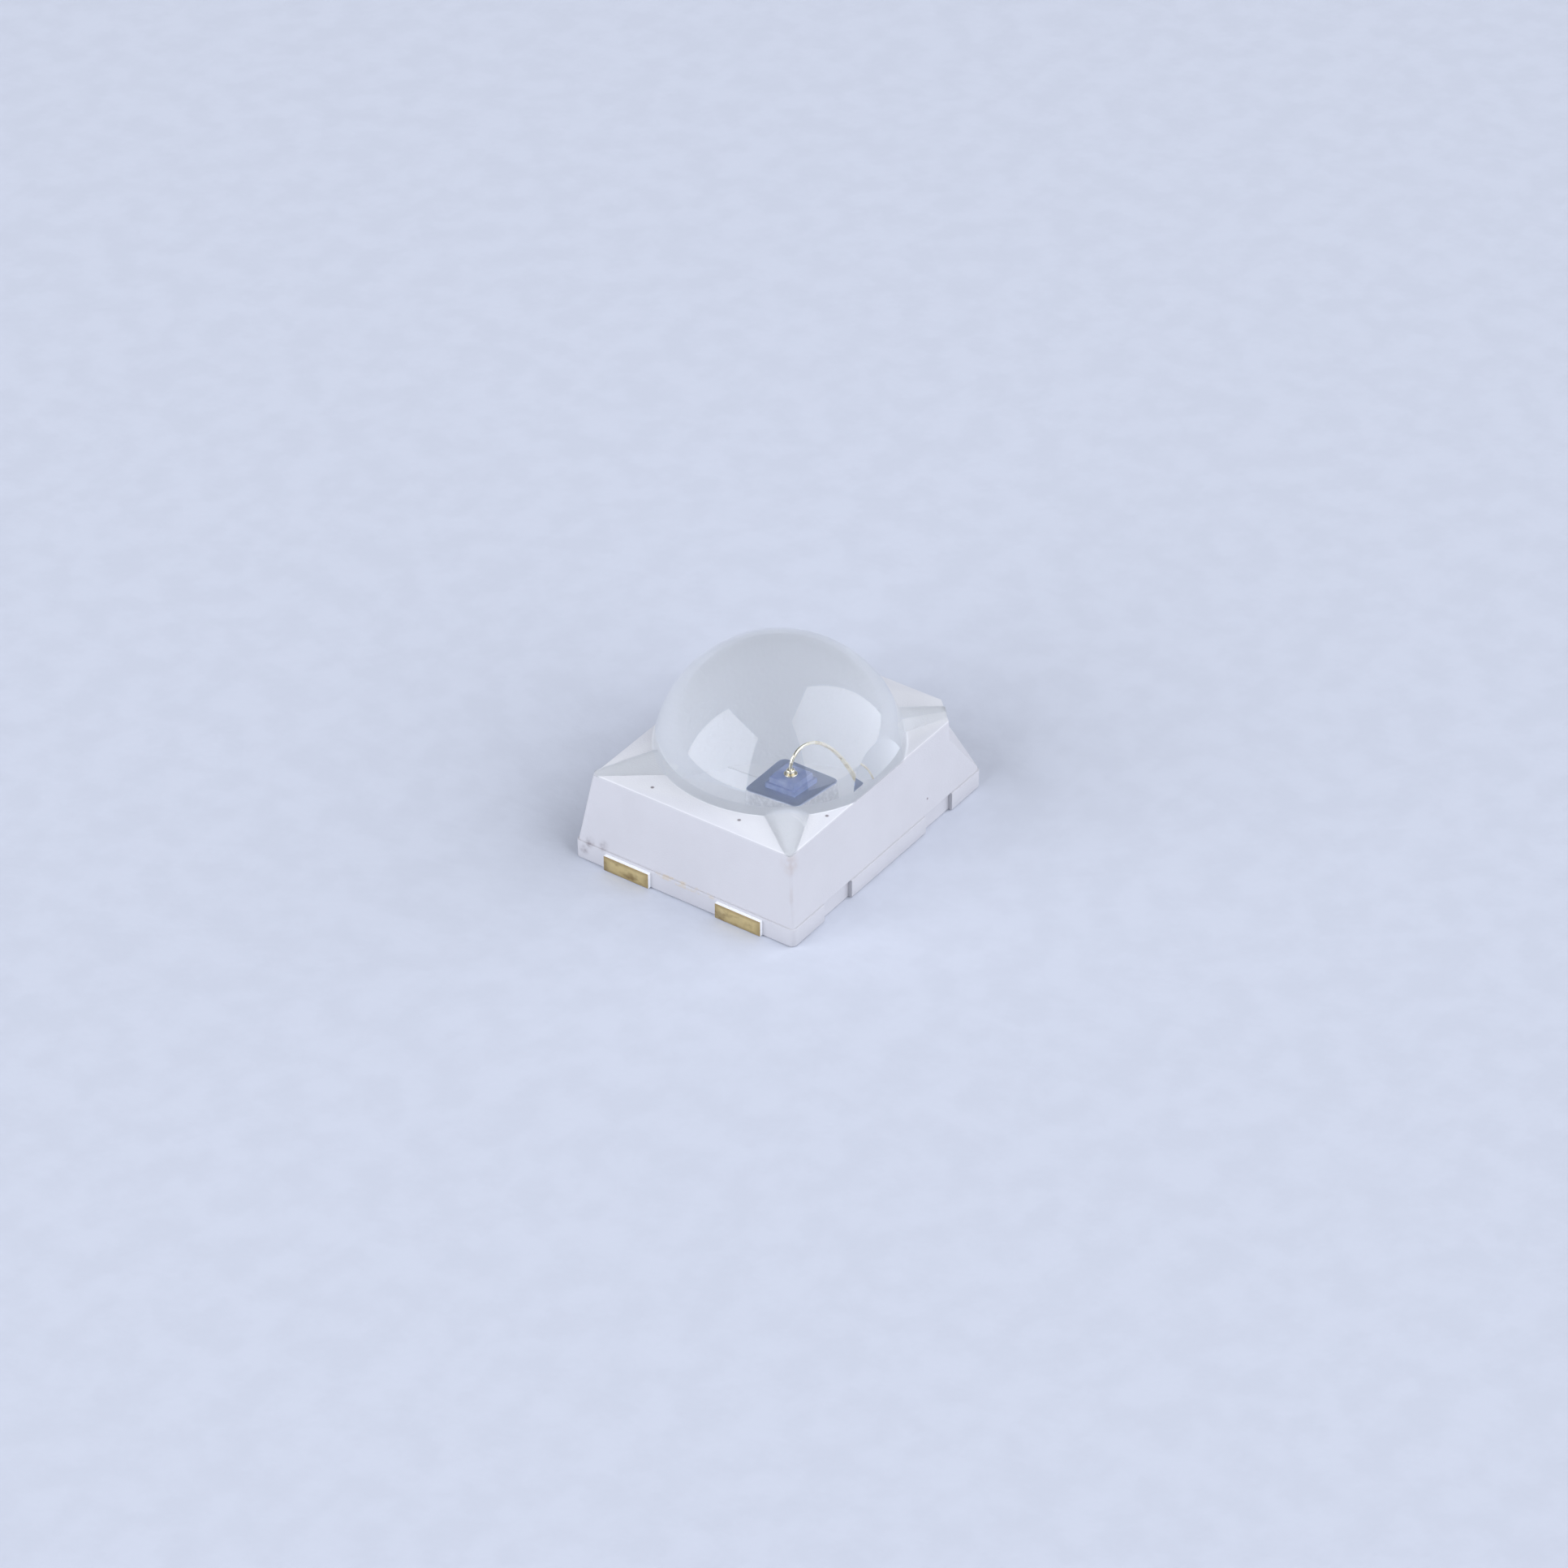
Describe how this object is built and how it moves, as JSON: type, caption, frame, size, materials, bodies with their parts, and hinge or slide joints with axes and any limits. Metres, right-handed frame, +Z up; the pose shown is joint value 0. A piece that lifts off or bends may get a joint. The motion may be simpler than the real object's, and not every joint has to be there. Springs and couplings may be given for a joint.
{
  "type": "surface-mount led with dome lens",
  "caption": "Small white moulded surface-mount LED with flat brass leads at both ends, a chip in a round reflector cup and a clear dome lens over it.",
  "frame": {"origin": "middle of the underside, on the plane of the solder faces", "axes": "+X along the housing towards the wire leads, +Z up through the dome, +Y across the housing"},
  "size_m": [0.0036, 0.0028, 0.0022],
  "materials": {
    "white_moulding": "fine matt moulded white",
    "lead_metal": "sheared brass with silver-plated faces",
    "silver_paste": "cured silver paste",
    "chip": "polished dark blue-grey semiconductor",
    "gold": "bright gold",
    "clear_resin": "clear glossy resin"
  },
  "bodies": {
    "root": {"housing": "white_moulding", "chip_lead": "lead_metal", "wire_lead": "lead_metal", "silver_paste": "silver_paste", "led_chip": "chip", "chip_contact": "gold", "bond_wire": "gold", "dome_lens": "clear_resin"}
  },
  "joints": []
}
